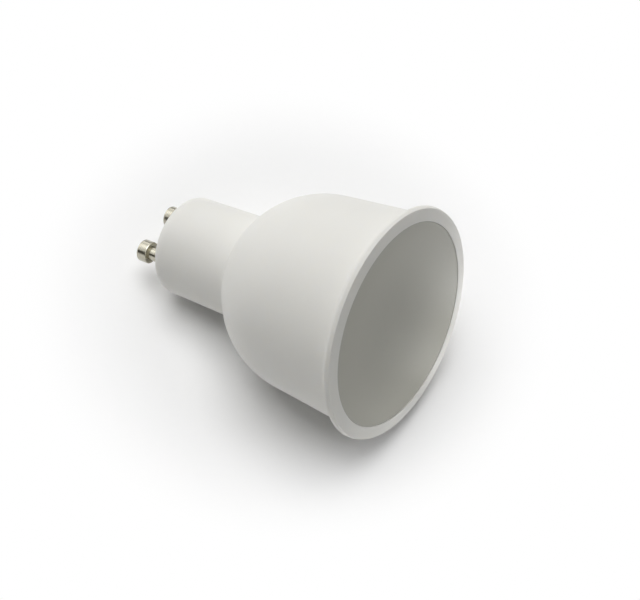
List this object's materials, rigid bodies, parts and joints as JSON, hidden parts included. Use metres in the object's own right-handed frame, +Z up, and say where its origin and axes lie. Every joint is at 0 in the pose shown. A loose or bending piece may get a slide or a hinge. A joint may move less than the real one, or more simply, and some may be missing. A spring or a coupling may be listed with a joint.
{
  "type": "led spotlight bulb",
  "caption": "Bell-shaped white reflector-style bulb with a flat opal front, a flanged lip, a plain round neck and a headed two-pin twist-lock base.",
  "frame": {"origin": "centre of the flat base face, midway between the two contact pins", "axes": "+Y along the lamp's axis out of the base, the way the pins point; light leaves towards -Y; the pins lie on X; +Z up"},
  "size_m": [0.0494, 0.0624, 0.0494],
  "materials": {
    "white_moulding": "moulded thermoplastic, fine matt texture",
    "opal_diffuser": "opal polycarbonate, satin",
    "plated_pin": "nickel-plated turned brass",
    "bare_aluminium": "pressed aluminium sheet",
    "white_board": "white solder mask on aluminium",
    "yellow_phosphor": "phosphor-filled silicone",
    "screw_steel": "zinc-plated steel",
    "copper_lead": "tinned copper wire",
    "green_board": "green glass-epoxy board",
    "can_sleeve": "black shrink sleeve on an aluminium can",
    "film_epoxy": "dipped brown epoxy",
    "ferrite": "sintered ferrite",
    "enamelled_wire": "enamelled copper wire",
    "resistor_paint": "painted ceramic",
    "black_epoxy": "moulded epoxy",
    "chip_ceramic": "glazed ceramic chip",
    "chip_tan": "ceramic chip"
  },
  "bodies": {
    "root": {"housing": "white_moulding", "diffuser": "opal_diffuser", "contact_pin_left": "plated_pin", "contact_pin_right": "plated_pin", "heat_sink": "bare_aluminium", "led_board": "white_board", "light_sources": "yellow_phosphor", "board_screws": "screw_steel", "input_lead_left": "copper_lead", "input_lead_right": "copper_lead", "output_lead_left": "copper_lead", "output_lead_right": "copper_lead", "driver_board": "green_board", "input_capacitor": "can_sleeve", "output_capacitor": "can_sleeve", "film_capacitor": "film_epoxy", "choke_core": "ferrite", "choke_winding": "enamelled_wire", "fuse_resistor": "resistor_paint", "bridge_rectifier": "black_epoxy", "driver_circuit": "black_epoxy", "output_diode": "black_epoxy", "chip_resistors": "chip_ceramic", "chip_capacitors": "chip_tan"}
  },
  "joints": []
}
